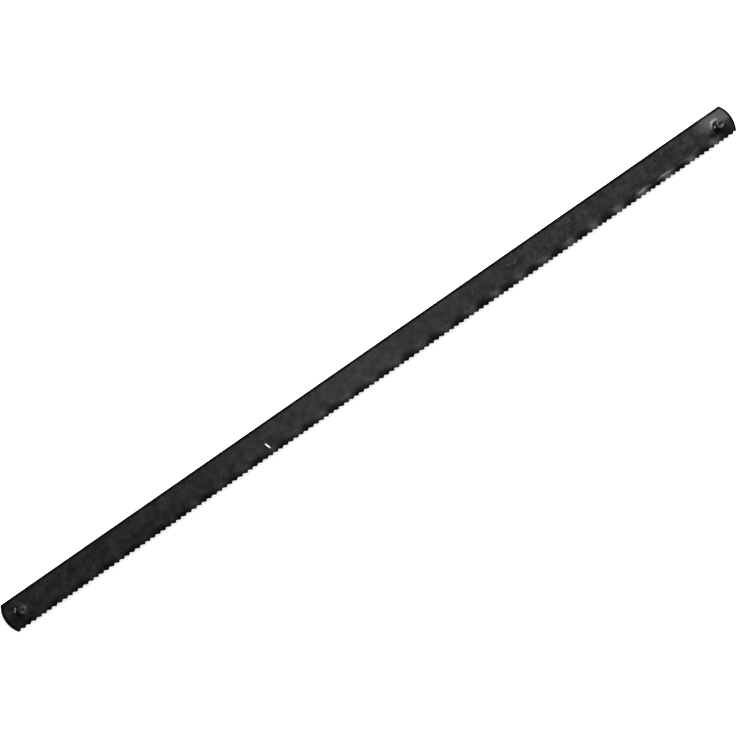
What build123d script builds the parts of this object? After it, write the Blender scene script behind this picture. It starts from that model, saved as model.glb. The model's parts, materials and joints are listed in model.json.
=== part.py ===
from build123d import *
import math
import os

# A pin-end hacksaw blade for a junior or mini saw: one thin strip with a wavy-set tooth line,
# and a short cross pin pressed through it near each end. All sizes are in millimetres.
#
# Frame: +X runs along the blade, the way the teeth cut. +Y points from the teeth to the back
# edge. +Z goes through the thickness. The origin is midway between the two pins, at mid width
# and mid thickness.

# Blade strip
overall_length = 152.9
blade_width = 5.4  # back edge to tooth tips
blade_thickness = 0.6
end_radius = 4.7  # each end is one convex arc between two corners
back_edge_break = 0.06  # chamfer along both edges of the back

# Teeth
teeth_per_inch = 24
tooth_offset = -0.2  # tooth pitches from mid length to the nearest tip
tooth_depth = 0.3
tooth_face_lean = 45.0  # degrees that a cutting face leans back from upright
gullet_radius = 0.2

# Wavy set: the tooth line swings to both sides of the strip
set_height = 1.5  # tooth tips to the line where the strip starts to bend
set_swing = 0.22  # sideways travel of the tips, each way
teeth_per_wave = 5
crest_offset = 2.8  # tooth pitches from that tip to a crest on the +Z side
samples_per_wave = 8

# Cross pins
pin_diameter = 1.5
pin_length = 5.0
pin_inset = 3.1  # pin axis to the tip of the blade's end
pin_end_chamfer = 0.15
pin_dimple_diameter = 0.7
pin_dimple_depth = 0.12

# The knurled band round a pin's middle, which grips the blade
knurl_ridges = 12
knurl_ridge_height = 0.08  # valley to crest, centred on the pin's own surface
knurl_clearance = 0.0  # radial: the knurl is driven in and cuts the hole to its own outline

tooth_pitch = 25.4 / teeth_per_inch
half_length = overall_length / 2
half_width = blade_width / 2
tip_y = -half_width
set_line_y = tip_y + set_height
clear_y = tip_y - tooth_depth / 2  # just beyond the tips, where uncut material stops
end_bulge = end_radius - math.sqrt(end_radius**2 - half_width**2)
corner_x = half_length - end_bulge
pin_x = half_length - pin_inset
tip_x = tooth_offset * tooth_pitch
wave_length = teeth_per_wave * tooth_pitch
crest_x = crest_offset * tooth_pitch


def tooth_space(x):
    """Edges from the tip at x to the next: steep face, round gullet, sloping back."""
    # The gullet is an arc, tangent to the face before it and to the back of the next tooth.
    lean = math.radians(tooth_face_lean)
    centre_y = tooth_depth - gullet_radius
    centre_x = (gullet_radius + centre_y * math.sin(lean)) / math.cos(lean)
    slope = math.atan2(centre_y, tooth_pitch - centre_x)
    tangent = math.asin(gullet_radius / math.hypot(tooth_pitch - centre_x, centre_y))
    face_end, back_start = math.pi - lean, math.pi / 2 - slope - tangent
    start, middle, end = (
        (
            x + centre_x + gullet_radius * math.cos(angle),
            tip_y + centre_y + gullet_radius * math.sin(angle),
        )
        for angle in (face_end, (face_end + back_start) / 2, back_start)
    )
    return [
        Line((x, tip_y), start),
        ThreePointArc(start, middle, end),
        Line(end, (x + tooth_pitch, tip_y)),
    ]


def set_strip():
    """One wave of the strip below the set line: straight at its top, swinging at the tips.

    It runs a little past the tips, where its swing is that much larger. It starts and ends
    midway between two tips.
    """
    start = -tooth_pitch / 2
    low_swing = set_swing * (set_line_y - clear_y) / set_height
    turn = 2 * math.pi / wave_length
    stations = [start + wave_length * index / samples_per_wave for index in range(samples_per_wave + 1)]
    steepness = -low_swing * turn * math.sin(turn * (start - crest_x))

    def section(y, wavy):
        def side(z):
            if wavy:
                points = [(x, y, z + low_swing * math.cos(turn * (x - crest_x))) for x in stations]
                return Spline(points, tangents=[(1, 0, steepness)] * 2)
            return Line((start, y, z), (start + wave_length, y, z))

        lower, upper = side(-blade_thickness / 2), side(blade_thickness / 2)
        ends = [Line(lower @ end, upper @ end) for end in (0, 1)]
        return make_face([lower, ends[1], upper, ends[0]])

    return loft([section(set_line_y, False), section(clear_y, True)], ruled=True)


def wave_of_teeth():
    """One wave of the set strip, cut to its teeth, with its first tip at x = 0."""
    spaces = []
    for index in range(-1, teeth_per_wave + 1):
        spaces += tooth_space(index * tooth_pitch)
    left, right = spaces[0] @ 0, spaces[-1] @ 1
    back = Polyline(right, (right.X, half_width), (left.X, half_width), left)
    return set_strip() & extrude(make_face([*spaces, back]), blade_thickness, both=True)


def flat_band():
    """The flat strip from the set line to the back edge."""
    height = half_width - set_line_y
    centre = Pos(0, (half_width + set_line_y) / 2, 0)
    band = centre * Box(overall_length, height, blade_thickness)
    back = band.edges().filter_by(Axis.X).group_by(Axis.Y)[-1]
    return chamfer(back, back_edge_break)


def knurl_band(clearance):
    """A ring of sharp ridges as long as the blade is thick."""
    points = []
    for index in range(2 * knurl_ridges):
        side = 1 if index % 2 else -1
        radius = pin_diameter / 2 + side * knurl_ridge_height / 2 + clearance
        angle = math.pi * index / knurl_ridges
        points.append((radius * math.cos(angle), radius * math.sin(angle)))
    return extrude(make_face(Polyline(*points, close=True)), blade_thickness / 2, both=True)


def end_outline():
    """Two convex ends and two straight sides. The lower side lies clear of the teeth."""
    low_x = half_length - end_radius + math.sqrt(end_radius**2 - clear_y**2)
    return make_face(
        [
            ThreePointArc((low_x, clear_y), (half_length, 0), (corner_x, half_width)),
            Line((corner_x, half_width), (-corner_x, half_width)),
            ThreePointArc((-corner_x, half_width), (-half_length, 0), (-low_x, clear_y)),
            Line((-low_x, clear_y), (low_x, clear_y)),
        ]
    )


def blade():
    """The strip, toothed and wavy set along its length, with a hole for each pin's knurl."""
    wave = wave_of_teeth()
    reach = math.ceil(half_length / wave_length)
    waves = [Pos(tip_x + index * wave_length, 0, 0) * wave for index in range(-reach, reach + 1)]
    strip = (flat_band() + waves) & extrude(end_outline(), blade_thickness, both=True)
    hole = knurl_band(knurl_clearance)
    return strip - Pos(pin_x, 0, 0) * hole - Pos(-pin_x, 0, 0) * hole


def free_end():
    """A pin's end above the blade: a round stub with a broken edge and a shallow dimple."""
    height = (pin_length - blade_thickness) / 2
    stub = Pos(0, 0, blade_thickness / 2 + height / 2) * Cylinder(pin_diameter / 2, height)
    rim = stub.edges().filter_by(GeomType.CIRCLE).group_by(Axis.Z)[-1]
    stub = chamfer(rim, pin_end_chamfer)
    dimple_radius = pin_dimple_diameter / 2
    ball_radius = (dimple_radius**2 + pin_dimple_depth**2) / (2 * pin_dimple_depth)
    ball_z = pin_length / 2 + ball_radius - pin_dimple_depth
    return stub - Pos(0, 0, ball_z) * Sphere(ball_radius)


def cross_pin(x):
    """A drive pin: a free end on each side of the knurled band that the blade holds."""
    upper = free_end()
    return Pos(x, 0, 0) * (upper + knurl_band(0) + mirror(upper, about=Plane.XY))


os.makedirs("parts", exist_ok=True)
for name, piece in (
    ("blade", blade()),
    ("front_pin", cross_pin(pin_x)),
    ("rear_pin", cross_pin(-pin_x)),
):
    export_step(piece, f"parts/{name}.step")
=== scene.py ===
"""A pin-end hacksaw blade on a pale floor: the toothed, wavy-set blade and its two cross pins.

Everything is in metres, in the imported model's frame: +X along the blade, the way the teeth cut,
+Y towards the back edge, +Z up through the thickness. The materials work in millimetres.
"""

import json
import math

import bpy
import numpy as np
from mathutils import Matrix, Vector
from mathutils.geometry import delaunay_2d_cdt


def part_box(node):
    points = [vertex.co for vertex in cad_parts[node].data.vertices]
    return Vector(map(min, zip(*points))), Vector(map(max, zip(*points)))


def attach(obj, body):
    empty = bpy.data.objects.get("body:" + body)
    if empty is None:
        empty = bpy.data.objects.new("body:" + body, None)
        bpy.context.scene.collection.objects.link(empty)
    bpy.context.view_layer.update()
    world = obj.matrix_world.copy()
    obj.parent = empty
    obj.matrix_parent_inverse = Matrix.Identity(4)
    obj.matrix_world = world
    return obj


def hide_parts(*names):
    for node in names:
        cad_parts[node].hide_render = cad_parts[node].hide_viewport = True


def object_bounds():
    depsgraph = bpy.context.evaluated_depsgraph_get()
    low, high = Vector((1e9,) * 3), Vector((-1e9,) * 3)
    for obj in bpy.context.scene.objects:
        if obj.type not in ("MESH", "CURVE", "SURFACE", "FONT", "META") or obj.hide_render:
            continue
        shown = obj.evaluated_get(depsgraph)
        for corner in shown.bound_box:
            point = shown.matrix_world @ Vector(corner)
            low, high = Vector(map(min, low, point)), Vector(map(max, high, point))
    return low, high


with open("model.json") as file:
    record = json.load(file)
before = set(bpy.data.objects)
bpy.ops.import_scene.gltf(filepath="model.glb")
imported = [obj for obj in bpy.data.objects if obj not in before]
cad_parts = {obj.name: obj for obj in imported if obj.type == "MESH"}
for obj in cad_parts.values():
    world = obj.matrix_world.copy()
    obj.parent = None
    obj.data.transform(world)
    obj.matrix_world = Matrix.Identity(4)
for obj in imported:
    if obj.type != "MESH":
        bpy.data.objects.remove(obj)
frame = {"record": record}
cad_low, cad_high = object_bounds()

MM = 0.001

# The blade's box and the pins' places come from the frame.
blade_low, blade_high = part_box("blade")
HALF_LENGTH = (blade_high.x - blade_low.x) / 2
HALF_WIDTH = (blade_high.y - blade_low.y) / 2
MOUNTS = {mount["name"]: mount for mount in frame["record"]["mounts"]}
PIN_RADIUS = MOUNTS["front_pin_upper_end"]["dims"]["r_mm"] * MM
PIN_XS = [MOUNTS[name]["pos_m"][0] for name in ("front_pin_upper_end", "rear_pin_upper_end")]

# The blade's own sizes, as in the CAD model.
HALF_THICKNESS = 0.3 * MM
END_RADIUS = 4.7 * MM
TOOTH_PITCH = 25.4 * MM / 24
TIP_X = -0.2 * TOOTH_PITCH
TOOTH_DEPTH = 0.3 * MM
TOOTH_FACE_LEAN = math.radians(45)
GULLET_RADIUS = 0.2 * MM
SET_HEIGHT = 1.5 * MM
SET_SWING = 0.22 * MM
WAVE_LENGTH = 5 * TOOTH_PITCH
CREST_X = TIP_X + 2.8 * TOOTH_PITCH
TIP_Y = -HALF_WIDTH
SET_LINE_Y = TIP_Y + SET_HEIGHT
END_CENTRE_X = HALF_LENGTH - END_RADIUS

# Share of the set's height over which the strip starts to bend.
BEND_SHARE = 0.3

# Softened edges, how far apart the points lie, and how many a gullet or an end's arc has.
BACK_ROUNDING = 0.05 * MM
TOOTH_ROUNDING = 0.015 * MM
SET_SPACING = 0.26 * MM
FLAT_SPACING = 0.5 * MM
RIM_MARGIN = 0.12 * MM
GULLET_POINTS = 6
END_POINTS = 28

# Halvings that find the point where an end's arc cuts the teeth.
HALVINGS = 40

# The metal that stands proud round each pin, and the rings of points that carry it.
SWAGE_GAP = 0.2 * MM
SWAGE_HEIGHT = 0.06 * MM
SWAGE_REACH = 0.17 * MM
COLLAR_GAPS = [gap * MM for gap in (0.06, 0.12, 0.2, 0.28, 0.38)]
COLLAR_MARGIN = 0.55 * MM
COLLAR_POINTS = 56

# The bright nick across the blade.
NICK_START = Vector((-23.5, -0.36)) * MM
NICK_END = Vector((-23.08, -1.6)) * MM
NICK_WIDTH = 0.3 * MM
NICK_DEPTH = 0.06 * MM
NICK_SPACING = 0.08 * MM
NICK_ROWS, NICK_COLUMNS = range(-12, 13), range(-9, 10)

# The pins' ends, and the marks of the turning tool along their sides.
DIMPLE_RADIUS = 0.35 * MM
DIMPLE_DEPTH = 0.12 * MM
PIN_CHAMFER = 0.15 * MM
RIM_STEP = 0.03 * MM
TURNING_DEPTH = 0.004 * MM
TURNING_PITCH = 0.045 * math.pi * MM
PIN_POINTS = 72


# ---------------------------------------------------------------- blade outline


def tooth_space(x):
    """Points from the tip at x to just before the next: steep face, round gullet, sloping back."""
    centre_y = TOOTH_DEPTH - GULLET_RADIUS
    centre_x = (GULLET_RADIUS + centre_y * math.sin(TOOTH_FACE_LEAN)) / math.cos(TOOTH_FACE_LEAN)
    slope = math.atan2(centre_y, TOOTH_PITCH - centre_x)
    tangent = math.asin(GULLET_RADIUS / math.hypot(TOOTH_PITCH - centre_x, centre_y))
    face_end, back_start = math.pi - TOOTH_FACE_LEAN, math.pi / 2 - slope - tangent
    arc = [
        (centre_x + GULLET_RADIUS * math.cos(a), centre_y + GULLET_RADIUS * math.sin(a))
        for a in np.linspace(face_end, back_start, GULLET_POINTS)
    ]
    low, high = arc[0], arc[-1]
    face = [(low[0] * share, low[1] * share) for share in (0, 1 / 3, 2 / 3)]
    back = [
        (high[0] + (TOOTH_PITCH - high[0]) * share, high[1] * (1 - share))
        for share in (0.25, 0.5, 0.75)
    ]
    return [(x + dx, TIP_Y + dy) for dx, dy in face + arc + back]


def inside_ends(x, y):
    """Is the point inside the arcs of the two ends?"""
    return abs(x) <= END_CENTRE_X or math.hypot(abs(x) - END_CENTRE_X, y) < END_RADIUS


def where_ends_cut(inner, outer):
    """The point between inner and outer that lies on an end's arc."""
    for _ in range(HALVINGS):
        middle = ((inner[0] + outer[0]) / 2, (inner[1] + outer[1]) / 2)
        if inside_ends(*middle):
            inner = middle
        else:
            outer = middle
    return inner


def toothed_edge():
    """Points along the teeth from the rear end's arc to the front end's."""
    reach = math.ceil(HALF_LENGTH / TOOTH_PITCH) + 1
    line = []
    for index in range(-reach, reach + 1):
        line += tooth_space(TIP_X + index * TOOTH_PITCH)
    first = max(i for i, p in enumerate(line) if p[0] < 0 and not inside_ends(*p))
    last = min(i for i, p in enumerate(line) if p[0] > 0 and not inside_ends(*p))
    points = [where_ends_cut(line[first + 1], line[first])]
    points += line[first + 1 : last]
    points.append(where_ends_cut(line[last - 1], line[last]))
    return points


def end_arc(start_angle, stop_angle, side):
    """Points on the arc of the front (side 1) or rear (side -1) end, without its two ends."""
    angles = np.linspace(start_angle, stop_angle, END_POINTS, endpoint=False)[1:]
    return [
        (side * (END_CENTRE_X + END_RADIUS * math.cos(a)), END_RADIUS * math.sin(a))
        for a in angles
    ]


def blade_outline():
    """The outline, counter-clockwise from above, and how far each point's edge is rounded."""
    teeth = toothed_edge()
    rear, front = teeth[0], teeth[-1]
    corner = math.asin(HALF_WIDTH / END_RADIUS)
    front_angle = math.asin(front[1] / END_RADIUS)
    rear_angle = math.asin(rear[1] / END_RADIUS)
    corner_x = END_CENTRE_X + END_RADIUS * math.cos(corner)
    back_count = round(2 * corner_x / FLAT_SPACING)
    others = end_arc(front_angle, corner, 1)
    others += [(x, HALF_WIDTH) for x in np.linspace(corner_x, -corner_x, back_count)]
    others += end_arc(corner, rear_angle, -1)
    points = np.array(teeth + others)
    rounding = np.array([TOOTH_ROUNDING] * len(teeth) + [BACK_ROUNDING] * len(others))
    return points, rounding


def inset(points, distance):
    """The outline moved inwards. Sharp corners move at most twice as far."""
    before, after = np.roll(points, 1, 0), np.roll(points, -1, 0)

    def normals(a, b):
        along = (b - a) / np.linalg.norm(b - a, axis=1)[:, None]
        return np.stack([-along[:, 1], along[:, 0]], 1)

    mitre = normals(before, points) + normals(points, after)
    length = np.linalg.norm(mitre, axis=1)
    mitre = mitre / length[:, None]
    reach = np.minimum(2 / length, 2.0)
    return points + mitre * (distance * reach)[:, None]


# ---------------------------------------------------------------- blade surface


def set_wave(x, y):
    """How far the wavy set moves the strip sideways."""
    depth = np.maximum((SET_LINE_Y - y) / SET_HEIGHT, 0)
    bend = np.where(depth < BEND_SHARE, depth**2 / (2 * BEND_SHARE), depth - BEND_SHARE / 2)
    share = bend / (1 - BEND_SHARE / 2)
    return SET_SWING * share * np.cos(2 * np.pi * (x - CREST_X) / WAVE_LENGTH)


def swage(x, y):
    """The blade's metal stands slightly proud round each driven pin."""
    rise = np.zeros_like(x)
    for pin_x in PIN_XS:
        away = np.hypot(x - pin_x, y) - PIN_RADIUS - SWAGE_GAP
        rise += SWAGE_HEIGHT * np.exp(-((away / SWAGE_REACH) ** 2))
    return rise


def nick(x, y):
    """Depth of the nick cut into the upper face."""
    along = NICK_END - NICK_START
    share = ((x - NICK_START.x) * along.x + (y - NICK_START.y) * along.y) / along.length_squared
    across = np.hypot(x - NICK_START.x - share * along.x, y - NICK_START.y - share * along.y)
    taper = np.clip(1 - (2 * share - 1) ** 2, 0, 1)
    return NICK_DEPTH * taper * np.exp(-((2 * across / NICK_WIDTH) ** 2))


def staggered_rows(low, high, spacing):
    """Rows of points along the blade, between two places across it, shifted forward and back."""
    rows = math.ceil((high - low) / spacing)
    columns = round(2 * HALF_LENGTH / spacing)
    points = []
    for row in range(rows):
        y = low + (row + 0.5) * (high - low) / rows
        shift = 0.25 * spacing * (-1) ** row
        points += [(x + shift, y) for x in np.linspace(-HALF_LENGTH, HALF_LENGTH, columns)]
    return points


def face_points():
    """Points inside the outline: close together on the set strip and round the nick."""
    points = staggered_rows(TIP_Y + TOOTH_DEPTH, SET_LINE_Y + SET_SPACING, SET_SPACING)
    points += staggered_rows(SET_LINE_Y + SET_SPACING * 2, HALF_WIDTH, FLAT_SPACING)
    middle = (NICK_START + NICK_END) / 2
    for row in NICK_ROWS:
        for column in NICK_COLUMNS:
            points.append((middle.x + column * NICK_SPACING, middle.y + row * NICK_SPACING))
    points = np.array(points)
    beyond = np.abs(points[:, 0]) - END_CENTRE_X
    keep = (beyond < 0) | (np.hypot(beyond, points[:, 1]) < END_RADIUS - RIM_MARGIN)
    keep &= points[:, 1] < HALF_WIDTH - RIM_MARGIN
    for pin_x in PIN_XS:
        keep &= np.hypot(points[:, 0] - pin_x, points[:, 1]) > PIN_RADIUS + COLLAR_MARGIN
    return points[keep]


def collar(centre_x, radius):
    """A ring of points round a pin's axis."""
    angles = np.linspace(0, 2 * np.pi, COLLAR_POINTS, endpoint=False)
    return np.stack([centre_x + radius * np.cos(angles), radius * np.sin(angles)], 1)


def triangulated_face(rim):
    """Points and triangles of the flat face inside the rim, with a hole for each pin."""
    holes = [collar(x, PIN_RADIUS) for x in PIN_XS]
    collars = [collar(x, PIN_RADIUS + gap) for x in PIN_XS for gap in COLLAR_GAPS]
    loops = [rim, *holes]
    points = np.concatenate([*loops, *collars, face_points()])
    edges, start = [], 0
    for loop in loops:
        size = len(loop)
        edges += [(start + i, start + (i + 1) % size) for i in range(size)]
        start += size
    # The triangulation works in millimetres, where its tolerance is small.
    flat = [Vector(point) / MM for point in points]
    found, _, triangles, *_ = delaunay_2d_cdt(flat, edges, [], 1, 1e-7)
    if len(found) != len(points):
        raise ValueError("the triangulation joined or added points")
    middles = points[np.array(triangles)].mean(1)
    in_hole = np.zeros(len(triangles), bool)
    for x in PIN_XS:
        in_hole |= np.hypot(middles[:, 0] - x, middles[:, 1]) < PIN_RADIUS
    return points, [triangle for triangle, hole in zip(triangles, in_hole) if not hole]


def make_object(name, vertices, faces, material):
    """A smooth shaded mesh object in the scene."""
    mesh = bpy.data.meshes.new(name)
    mesh.from_pydata([tuple(v) for v in vertices], [], faces)
    mesh.validate()
    mesh.materials.append(material)
    mesh.polygons.foreach_set("use_smooth", [True] * len(mesh.polygons))
    piece = bpy.data.objects.new(name, mesh)
    bpy.context.scene.collection.objects.link(piece)
    return piece


def blade_mesh():
    """A closed blade: two faces, rounded edges, side walls and the walls of the pin holes."""
    outline, rounding = blade_outline()
    rim = inset(outline, rounding)
    flat, triangles = triangulated_face(rim)
    vertices, faces = [], []

    def add(points, height, is_top=False, is_bottom=False):
        start = len(vertices)
        x, y = points[:, 0], points[:, 1]
        z = height + set_wave(x, y)
        if is_top:
            z = z + swage(x, y) - nick(x, y)
        if is_bottom:
            z = z - swage(x, y)
        vertices.extend(np.column_stack([points, z]))
        return start

    top = add(flat, HALF_THICKNESS, is_top=True)
    bottom = add(flat, -HALF_THICKNESS, is_bottom=True)
    faces += [tuple(top + i for i in t) for t in triangles]
    faces += [tuple(bottom + i for i in reversed(t)) for t in triangles]

    def wall(upper, lower, size):
        for i in range(size):
            j = (i + 1) % size
            faces.append((upper + i, lower + i, lower + j, upper + j))

    # From the upper rim down: a quarter round, the wall, and the lower quarter round.
    soft = inset(outline, rounding * (1 - math.sin(math.pi / 4)))
    drop = rounding * (1 - math.cos(math.pi / 4))
    rings = [
        top,
        add(soft, HALF_THICKNESS - drop),
        add(outline, HALF_THICKNESS - rounding),
        add(outline, rounding - HALF_THICKNESS),
        add(soft, drop - HALF_THICKNESS),
        bottom,
    ]
    for upper, lower in zip(rings, rings[1:]):
        wall(upper, lower, len(rim))
    for index in range(len(PIN_XS)):
        start = len(rim) + index * COLLAR_POINTS
        wall(bottom + start, top + start, COLLAR_POINTS)
    return vertices, faces


# ---------------------------------------------------------------- pins


def pin_profile(half):
    """Radius and height down a pin: dimple, flat rim, rounded edge and the turned side."""
    upper = [
        (DIMPLE_RADIUS * s, half - DIMPLE_DEPTH * math.cos(s * math.pi / 2) ** 0.8)
        for s in np.linspace(0, 1, 8)
    ]
    upper.append((PIN_RADIUS - PIN_CHAMFER - RIM_STEP, half))
    upper += [
        (PIN_RADIUS - PIN_CHAMFER * (1 - math.sin(a)), half - PIN_CHAMFER * (1 - math.cos(a)))
        for a in np.linspace(0.15, math.pi / 2, 7)
    ]
    upper += [
        (PIN_RADIUS - TURNING_DEPTH * math.sin(math.pi * z / TURNING_PITCH) ** 2, z)
        for z in np.linspace(half - PIN_CHAMFER, 0, 26)[1:]
    ]
    return upper + [(r, -z) for r, z in reversed(upper[:-1])]


def pin_mesh(node):
    """A turned pin: the profile spun round the pin's axis."""
    low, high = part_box(node)
    centre_x = (low.x + high.x) / 2
    profile = pin_profile((high.z - low.z) / 2)
    vertices, faces = [(centre_x, 0, profile[0][1])], []
    for r, z in profile[1:-1]:
        vertices += [
            (centre_x + r * math.cos(a), r * math.sin(a), z)
            for a in np.linspace(0, 2 * math.pi, PIN_POINTS, endpoint=False)
        ]
    vertices.append((centre_x, 0, profile[-1][1]))
    last_ring = 1 + (len(profile) - 3) * PIN_POINTS
    for i in range(PIN_POINTS):
        j = (i + 1) % PIN_POINTS
        faces.append((0, 1 + i, 1 + j))
        faces.append((len(vertices) - 1, last_ring + j, last_ring + i))
        for start in range(1, last_ring, PIN_POINTS):
            below = start + PIN_POINTS
            faces.append((start + i, below + i, below + j, start + j))
    return vertices, faces


# ---------------------------------------------------------------- material building

# Colours as linear red, green, blue and alpha.
# Black for the rim and the pits, and for the painted shade on the set and below the front pin.
RIM_PIT_AND_SHADE_BLACK = (0.0006, 0.0006, 0.0006, 1)
DEEP_BLACK = (0.0008, 0.0008, 0.0008, 1)
PALER_BLACK = (0.0034, 0.0034, 0.0031, 1)
# Grey of the painted sheen along the middle of the blade.
SHEEN_GREY = (0.0130, 0.0130, 0.0120, 1)
BROWN_CLOUD = (0.0070, 0.0060, 0.0042, 1)
# Lighter grey of the painted reflection near the front pin.
REFLECTION_GREY = (0.026, 0.026, 0.025, 1)
SCRATCH_GREY = (0.040, 0.040, 0.037, 1)
SPECK_GREY = (0.060, 0.060, 0.057, 1)
WORN_GREY = (0.10, 0.10, 0.095, 1)
# Grey of the painted highlights on the raised rings round the pins.
RING_HIGHLIGHT_GREY = (0.21, 0.21, 0.20, 1)
BARE_STEEL = (0.60, 0.60, 0.58, 1)
PIN_DARK, PIN_LIGHT = (0.0012, 0.0012, 0.0011, 1), (0.0045, 0.0044, 0.0040, 1)
# Painted highlights on the end faces of the front and rear pins.
FRONT_PIN_HIGHLIGHT, REAR_PIN_HIGHLIGHT = (0.024, 0.024, 0.023, 1), (0.060, 0.056, 0.054, 1)
# Colour of the painted glint on the front pin's side.
GLINT_STEEL = (0.85, 0.85, 0.83, 1)
FLOOR_DARK, FLOOR_LIGHT = (0.91, 0.91, 0.91, 1), (0.93, 0.93, 0.93, 1)


class Field:
    """A number that varies over a surface. Arithmetic on it adds Math nodes."""

    def __init__(self, nodes, socket):
        self.nodes, self.socket = nodes, socket

    def combine(self, operation, a, b=0.0):
        """A new field from two numbers or fields. Some operations only use the first."""
        node = self.nodes.new("Math", {0: a, 1: b}, operation=operation)
        return Field(self.nodes, node.outputs[0])

    def __add__(self, other):
        return self.combine("ADD", self, other)

    def __sub__(self, other):
        return self.combine("SUBTRACT", self, other)

    def __rsub__(self, other):
        return self.combine("SUBTRACT", other, self)

    def __mul__(self, other):
        return self.combine("MULTIPLY", self, other)

    def __truediv__(self, other):
        return self.combine("DIVIDE", self, other)

    def __abs__(self):
        return self.combine("ABSOLUTE", self)

    def squared(self):
        return self.combine("MULTIPLY", self, self)

    def root(self):
        return self.combine("SQRT", self)

    def cosine(self):
        return self.combine("COSINE", self)

    def exponential(self):
        return self.combine("EXPONENT", self)

    def larger(self, other):
        return self.combine("MAXIMUM", self, other)

    def smaller(self, other):
        return self.combine("MINIMUM", self, other)

    def above(self, limit):
        return self.combine("GREATER_THAN", self, limit)

    def below(self, limit):
        return self.combine("LESS_THAN", self, limit)

    def ramp(self, start, stop, low=0.0, high=1.0, kind="SMOOTHSTEP"):
        """From low, where the field is at start, to high, where it is at stop."""
        inputs = {"Value": self, "From Min": start, "From Max": stop, "To Min": low, "To Max": high}
        node = self.nodes.new("MapRange", inputs, interpolation_type=kind)
        return Field(self.nodes, node.outputs["Result"])

    def fade(self, start, stop):
        """From 1, where the field is at start, to 0, where it is at stop."""
        return self.ramp(start, stop, 1.0, 0.0)


class Nodes:
    """A material's node tree, with places in millimetres."""

    def __init__(self, name):
        self.material = bpy.data.materials.new(name)
        self.material.use_nodes = True
        self.tree = self.material.node_tree
        self.tree.nodes.clear()
        place = self.new("TexCoord").outputs["Object"]
        self.place = self.new("VectorMath", {0: place, 3: 1 / MM}, operation="SCALE").outputs[0]

    def new(self, kind, inputs=None, **settings):
        """A node with its settings. Each input is a field, another node's socket or a value."""
        node = self.tree.nodes.new("ShaderNode" + kind)
        for key, value in settings.items():
            setattr(node, key, value)
        for key, value in (inputs or {}).items():
            if isinstance(value, Field):
                value = value.socket
            if isinstance(value, bpy.types.NodeSocket):
                self.tree.links.new(value, node.inputs[key])
            else:
                node.inputs[key].default_value = value
        return node

    def axes(self):
        """The place along X, Y and Z."""
        outputs = self.new("SeparateXYZ", {0: self.place}).outputs
        return [Field(self, output) for output in outputs]

    def mix(self, factor, a, b):
        """Colour a where the factor is 0, and b where it is 1."""
        factor_input, a_input, b_input, colour_output = 0, 6, 7, 2
        inputs = {factor_input: factor, a_input: a, b_input: b}
        return self.new("Mix", inputs, data_type="RGBA").outputs[colour_output]

    def noise(self, scale, detail=3.0, roughness=0.55, stretch=1.0, turn=0.0, shift=0.0):
        """Noise with `scale` features per millimetre, stretched along a turned X axis."""
        place = self.place
        if stretch != 1.0 or turn or shift:
            inputs = {"Vector": place, "Rotation": (0, 0, turn), "Location": (shift, shift, 0)}
            place = self.new("Mapping", inputs).outputs[0]
            inputs = {"Vector": place, "Scale": (1 / stretch, 1, 1)}
            place = self.new("Mapping", inputs).outputs[0]
        inputs = {"Vector": place, "Scale": scale, "Detail": detail, "Roughness": roughness}
        return Field(self, self.new("TexNoise", inputs).outputs["Fac"])

    def scratches(self, turn, shift):
        """Thin lines where a stretched noise crosses its middle, broken up by a second noise."""
        field = self.noise(2.6, 1.0, 0.4, stretch=14.0, turn=turn, shift=shift)
        line = abs(field - 0.5).fade(0.0, 0.012)
        gate = self.noise(0.55, 2.0, 0.5, shift=shift + 7.3).ramp(0.54, 0.66)
        return line * gate

    def bump(self, height, distance, strength=0.3):
        """The normal of a surface raised by up to the distance."""
        inputs = {"Strength": strength, "Distance": distance, "Height": height}
        return self.new("Bump", inputs).outputs[0]

    def surface(self, inputs):
        """The finished material, from its shader's inputs."""
        shader = self.new("BsdfPrincipled", inputs)
        self.new("OutputMaterial", {"Surface": shader.outputs[0]})
        return self.material

    def dark_metal(self, tone, gloss, rough, normal):
        """A half metallic surface: one colour serves for its body and for its gloss."""
        body_share, gloss_share = 0.7, 0.096
        inputs = {0: tone, 1: (body_share,) * 3, 2: gloss * gloss_share}
        colour = self.new("VectorMath", inputs, operation="MULTIPLY_ADD").outputs[0]
        return self.surface(
            {
                "Base Color": colour,
                "Metallic": 0.6,
                "Specular IOR Level": 0.0,
                "Roughness": rough,
                "Normal": normal,
            }
        )


# ---------------------------------------------------------------- blade material


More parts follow.
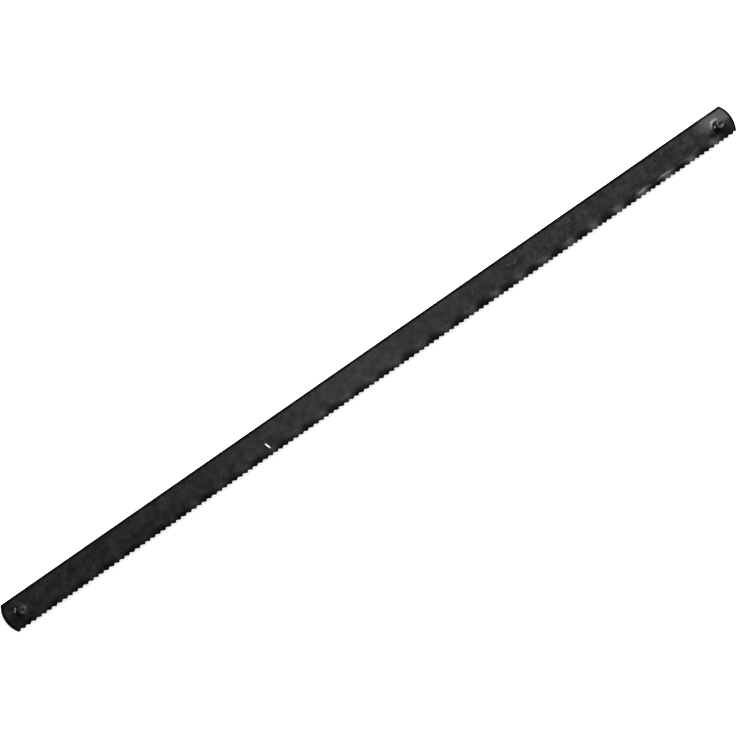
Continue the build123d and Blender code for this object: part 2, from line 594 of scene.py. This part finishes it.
class BladeFinish:
    """The blade's mottled black finish with worn marks, painted highlights and shade. Lengths are in
    millimetres.
    """

    # From the edge inwards: where the black rim, the painted shade at the tips and up the set, and
    # the painted highlight on the set's crests begin to fade, and where they end.
    RIM_FADE = (0.26, 0.64)
    TIP_FADE = (0.34, 0.84)
    SET_SHADE_FADE = (0.4, 1.4)
    CREST_FADE = (0.9, 1.5)
    # Towards the front end the painted shade leaves the crests and a painted highlight lies on them.
    CREST_SHADE = 0.70
    LIT_FRONT_XS = (-5.0, 60.0)
    # The middle of the blade's lighter stretch of painted sheen, how far it reaches, and where the
    # colour drops, as painted shade, towards the front end.
    SHEEN_X, SHEEN_REACH = -6.0, 26.0
    GLOSS_DROP_XS = (-4.0, 12.0)
    # The worn line near the front end rises slightly along the blade.
    WORN_START_XS, WORN_STOP_XS = (52.5, 55.0), (63.5, 66.0)
    WORN_X, WORN_DROP, WORN_SLOPE = 59.0, 0.53, 0.030
    # For each pin's painted highlight on the raised ring round it: gap to the ring, its width,
    # direction and spread (degrees), strength.
    RING_HIGHLIGHTS = ((0.36, 0.34, 108, 68, 0.20), (0.28, 0.22, 141, 26, 1.0))
    # For each group of scratches: its turn in radians, and a shift that makes its noise its own.
    SCRATCHES = ((0.3, 0.0), (1.1, 11.0), (1.9, 23.0), (2.6, 37.0), (-0.15, 51.0))

    def __init__(self):
        n = Nodes("black_blade_finish")
        self.n = n
        self.x, self.y, _ = n.axes()
        self.from_tips = self.y + HALF_WIDTH / MM
        phase = (self.x - CREST_X / MM) * (2 * math.pi * MM / WAVE_LENGTH)
        self.trough = 0.5 - phase.cosine() * 0.5
        # Grows towards the front end, where the crests carry a painted highlight and lose their
        # painted shade.
        self.lit_front = self.x.ramp(*self.LIT_FRONT_XS)
        # Mottling, from fine to broad.
        self.grain = n.noise(5.0, 3.0, 0.6)
        self.cloud = n.noise(0.7, 5.0, 0.65)
        self.mottle = n.noise(0.11, 2.0, 0.5) * 0.35 + self.cloud * 0.65

    def edge_black_and_set_shade(self):
        """The finish is thickest and blackest along the back edge and the ends. Painted shade darkens
        the tips and the set.
        """
        past_centre = (abs(self.x) - END_CENTRE_X / MM).larger(0.0)
        from_end = END_RADIUS / MM - (past_centre.squared() + self.y.squared()).root()
        at_end = past_centre.above(0.0)
        from_end = from_end * at_end + (1.0 - at_end)
        from_rim = (HALF_WIDTH / MM - self.y).smaller(from_end)
        ragged = (self.n.noise(1.6, 3.0) - 0.5) * 0.4
        rim = (from_rim + ragged).fade(*self.RIM_FADE)

        # Painted shade fills the troughs of the set, which face away from the soft box. Towards the
        # rear end it also lies, thinner, on the crests, where the highlights on them are weaker.
        on_crest = self.CREST_SHADE - self.lit_front * self.CREST_SHADE
        held = on_crest + (1.0 - on_crest) * self.trough
        tips = (self.from_tips + ragged).fade(*self.TIP_FADE)
        set_shade = tips.larger(self.from_tips.ramp(*self.SET_SHADE_FADE, 0.75, 0.0))
        return rim.larger(set_shade * held)

    def body_tone(self):
        """The black itself with faint brown clouds, and a painted sheen: a lighter stretch mid-blade.
        """
        # Painted sheen: lighter colour where a broad reflection lies along the middle of the blade.
        far = (self.x - self.SHEEN_X) / self.SHEEN_REACH
        sheen = (far * far * -1.0).exponential()
        tint = self.n.noise(0.3, 3.0, 0.5, shift=21.0).ramp(0.5, 0.75, 0.0, 0.5)
        tone = self.n.mix(self.mottle.ramp(0.38, 0.62), DEEP_BLACK, PALER_BLACK)
        tone = self.n.mix(sheen * 0.50, tone, SHEEN_GREY)
        return self.n.mix(tint, tone, BROWN_CLOUD)

    def patch(self, ahead, centre_y, reach_x, reach_y, inner, outer):
        """A ragged oval spot whose middle lies ahead of the front pin."""
        over_x = (self.x - (PIN_XS[0] / MM + ahead)) / reach_x
        over_y = (self.y - centre_y) / reach_y
        spread = over_x.squared() + over_y.squared() + (self.cloud - 0.5) * 2.4
        return spread.fade(inner, outer)

    def ring_highlight(self, pin_x, gap, width, direction, spread, strength):
        """Painted highlight on part of the raised ring round a pin, on the side that faces direction.
        """
        across = self.x - pin_x / MM
        off = (across.squared() + self.y.squared()).root()
        band = abs(off - (PIN_RADIUS / MM + gap)).fade(0.02, width)
        angle = math.radians(direction)
        toward = across * math.cos(angle) + self.y * math.sin(angle)
        limit = math.cos(math.radians(spread))
        return band * (toward / off.larger(0.1)).ramp(limit, 0.4 * limit + 0.6, 0.0, strength)

    def ring_highlights(self):
        """Painted highlights on the raised rings round both pins."""
        front, rear = (
            self.ring_highlight(pin_x, *sizes) for pin_x, sizes in zip(PIN_XS, self.RING_HIGHLIGHTS)
        )
        return front.larger(rear) * self.n.noise(2.2, 2.0).ramp(0.35, 0.55, 0.45, 1.0)

    def scratched(self):
        """Fine scratches in several directions."""
        first, *others = [self.n.scratches(turn, shift) for turn, shift in self.SCRATCHES]
        for other in others:
            first = first.larger(other)
        return first

    def specks_and_pits(self):
        """Small light specks and dark pits, scattered."""
        dots = self.n.new("TexVoronoi", {"Vector": self.n.place, "Scale": 1.3, "Randomness": 1.0})
        colour = self.n.new("SeparateColor", {0: dots.outputs["Color"]})
        pick = Field(self.n, colour.outputs[0])
        near = Field(self.n, dots.outputs["Distance"]).fade(0.07, 0.18)
        return near * pick.above(0.84), near * pick.below(0.30)

    def worn_line(self):
        """A thin worn line between the tips and the line where the set begins."""
        wander = (self.n.noise(0.35, 2.0, 0.5, shift=5.0) - 0.5) * 1.1
        line = (self.x - self.WORN_X) * self.WORN_SLOPE + (SET_LINE_Y / MM - self.WORN_DROP)
        worn = abs(self.y - line + wander).fade(0.04, 0.17)
        worn = worn * self.x.ramp(*self.WORN_START_XS) * self.x.fade(*self.WORN_STOP_XS)
        return worn * self.n.noise(1.3, 3.0, 0.6, shift=13.0).ramp(0.33, 0.55, 0.3, 1.0)

    def bare_nick(self):
        """Bare steel in the nick, brightest where it starts."""
        along = (NICK_END - NICK_START) / MM
        start = NICK_START / MM
        dx = self.x - start.x
        dy = self.y - start.y
        share = dx * (along.x / along.length_squared) + dy * (along.y / along.length_squared)
        aside = abs(dx * (along.y / along.length) - dy * (along.x / along.length))
        return aside.fade(0.07, 0.16) * share.ramp(-0.02, 0.08) * share.fade(0.45, 1.05)

    def material(self):
        """The finish, with worn marks, painted highlights and painted shade laid over the black."""
        n = self.n
        rim_and_set_shade = self.edge_black_and_set_shade()
        # Painted reflection, lighter, near the front pin and mostly above it, and painted shade below
        # it.
        reflection_patch = self.patch(ahead=0.6, centre_y=1.4, reach_x=4.6, reach_y=1.9, inner=-0.1, outer=1.35)
        shade_patch = self.patch(ahead=1.2, centre_y=-1.3, reach_x=3.6, reach_y=1.5, inner=0.3, outer=1.3)
        ring = self.ring_highlights()
        scratch = self.scratched()
        speck, pit = self.specks_and_pits()
        worn = self.worn_line()
        # Black from the rim and the pits, with the painted shade on the set and below the front pin.
        black = (rim_and_set_shade * 0.95).larger((shade_patch * 0.45).larger(pit * 0.5))

        tone = self.body_tone()
        for factor, colour in (
            (reflection_patch * 0.9, REFLECTION_GREY),
            (ring, RING_HIGHLIGHT_GREY),
            (scratch * 0.3, SCRATCH_GREY),
            (speck * 0.45, SPECK_GREY),
            (worn * 0.25, WORN_GREY),
            (black, RIM_PIT_AND_SHADE_BLACK),
            (self.bare_nick(), BARE_STEEL),
        ):
            tone = n.mix(factor, tone, colour)

        gloss = self.cloud.ramp(0.35, 0.65, 0.055, 0.115, "LINEAR")
        gloss = gloss + reflection_patch.larger(ring) * 0.10 + scratch.larger(worn) * 0.10
        # Painted shade: the colour is duller towards the front end, under the soft box.
        gloss = gloss * self.x.ramp(*self.GLOSS_DROP_XS, 1.0, 0.74)
        # Painted highlight: the set's crests are lighter towards the front end, under the soft box.
        crest = (1.0 - self.trough) * self.from_tips.fade(*self.CREST_FADE)
        gloss = (gloss + crest * self.lit_front * 0.035) * (1.0 - black * 0.9)

        rough = self.mottle.ramp(0.3, 0.7, 0.37, 0.45, "LINEAR")
        rough = rough + (self.grain - 0.5) * 0.10 - scratch * 0.10 + rim_and_set_shade * 0.15
        height = self.grain * 0.35 + self.cloud * 0.6 - scratch * 0.4
        return n.dark_metal(tone, gloss, rough, n.bump(height, 0.02 * MM))


# ---------------------------------------------------------------- pin and floor materials


def pin_material():
    """Blackened steel with painted highlights on its ends and one painted glint. Lengths are in
    millimetres.
    """
    n = Nodes("blackened_pin")
    x, y, z = n.axes()
    cloud = n.noise(2.2, 4.0, 0.6)
    tone = n.mix(cloud.ramp(0.4, 0.65), PIN_DARK, PIN_LIGHT)

    # Painted highlight on the end faces, a ring between the dimple and the rim, less on its outer
    # side.
    outward = abs(x) - PIN_XS[0] / MM
    off = (outward.squared() + y.squared()).root()
    end_highlight = off.ramp(0.14, 0.42) * off.ramp(0.58, 0.75, 1.0, 0.2)
    end_highlight = end_highlight * (outward / off).ramp(0.4, 0.9, 1.0, 0.3)
    end_highlight = end_highlight * abs(z).ramp(2.30, 2.42) * cloud.ramp(0.38, 0.58, 0.3, 1.0)
    tone = n.mix(end_highlight, tone, n.mix(x.below(0.0), FRONT_PIN_HIGHLIGHT, REAR_PIN_HIGHLIGHT))

    # A painted glint low on the front pin's side, taller than it is wide.
    squat = 0.35
    shrunk = n.new("VectorMath", {0: n.place, 1: (1.0, 1.0, squat)}, operation="MULTIPLY")
    glint_height = 1.0
    glint_place = ((PIN_XS[0] - PIN_RADIUS) / MM, 0.05, glint_height * squat)
    away = n.new("VectorMath", {0: shrunk.outputs[0], 1: glint_place}, operation="DISTANCE")
    glint_spot = Field(n, away.outputs["Value"]).fade(0.16, 0.30)
    tone = n.mix(glint_spot, tone, GLINT_STEEL)

    rough = cloud.ramp(0.3, 0.7, 0.28, 0.42, "LINEAR")
    return n.dark_metal(tone, end_highlight * 0.12 + 0.08, rough, n.bump(cloud, 0.01 * MM))


def floor_material():
    """White, and lit from below as a light table is, so that shadows stay faint."""
    n = Nodes("pale_floor")
    return n.surface(
        {
            "Base Color": n.mix(n.noise(0.05, 2.0), FLOOR_DARK, FLOOR_LIGHT),
            "Roughness": 0.9,
            "Specular IOR Level": 0.1,
            "Emission Color": (1, 1, 1, 1),
            "Emission Strength": 0.35,
        }
    )


# ---------------------------------------------------------------- pieces

blade = make_object("saw_blade", *blade_mesh(), BladeFinish().material())
blade.data.set_sharp_from_angle(angle=math.radians(28))
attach(blade, "root")
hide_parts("blade")

pin_finish = pin_material()
for node in ("front_pin", "rear_pin"):
    pin = make_object(f"{node}_turned", *pin_mesh(node), pin_finish)
    pin.data.set_sharp_from_angle(angle=math.radians(50))
    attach(pin, "root")
    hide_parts(node)


# ---------------------------------------------------------------- floor, light and camera

FLOOR_HALF = 3.0
FLOOR_CORNERS = FLOOR_HALF * np.array([(-1, -1), (1, -1), (1, 1), (-1, 1)])
floor = make_object(
    "floor",
    [(x, y, cad_low.z) for x, y in FLOOR_CORNERS],
    [(0, 1, 2, 3)],
    floor_material(),
)

# A soft box close over the front half of the blade, on the back edge's side.
SOFTBOX_PLACE = Vector((0.114, 0.078, 0.227))
SOFTBOX_AIM = Vector((0.045, 0, 0))
SOFTBOX_SIZE = 0.09
SOFTBOX_WATTS = 1.05

light = bpy.data.lights.new("softbox", "AREA")
light.shape = "SQUARE"
light.size = SOFTBOX_SIZE
light.energy = SOFTBOX_WATTS
softbox = bpy.data.objects.new("softbox", light)
softbox.location = SOFTBOX_PLACE
softbox.rotation_euler = (SOFTBOX_PLACE - SOFTBOX_AIM).to_track_quat("Z", "Y").to_euler()
bpy.context.scene.collection.objects.link(softbox)

world = bpy.data.worlds.new("studio")
world.use_nodes = True
background = world.node_tree.nodes["Background"]
background.inputs["Color"].default_value = (1, 1, 1, 1)
background.inputs["Strength"].default_value = 1.0
bpy.context.scene.world = world
bpy.context.scene.view_settings.view_transform = "Standard"
bpy.context.scene.view_settings.look = "None"

# The camera stands over the blade, leans towards the rear end, and is rolled so that the blade
# climbs to the right.
LENS = 245.3
SENSOR_WIDTH = 36
CAMERA_DISTANCE = 0.845
CAMERA_LEAN = math.radians(13)
BLADE_CLIMB = math.radians(34.864)
AIM = Vector((-1.49, 0.16, 0)) * MM

camera_data = bpy.data.cameras.new("camera")
camera_data.lens = LENS
camera_data.sensor_width = SENSOR_WIDTH
camera_data.clip_start = 0.05
camera_data.clip_end = 20
camera = bpy.data.objects.new("camera", camera_data)
back = Vector((-math.sin(CAMERA_LEAN), 0, math.cos(CAMERA_LEAN)))
along = Vector((math.cos(CAMERA_LEAN), 0, math.sin(CAMERA_LEAN)))
across = back.cross(along)
right = along * math.cos(BLADE_CLIMB) - across * math.sin(BLADE_CLIMB)
up = back.cross(right)
turned = Matrix((right, up, back)).transposed().to_4x4()
camera.matrix_world = Matrix.Translation(AIM + back * CAMERA_DISTANCE) @ turned
bpy.context.scene.collection.objects.link(camera)
bpy.context.scene.camera = camera
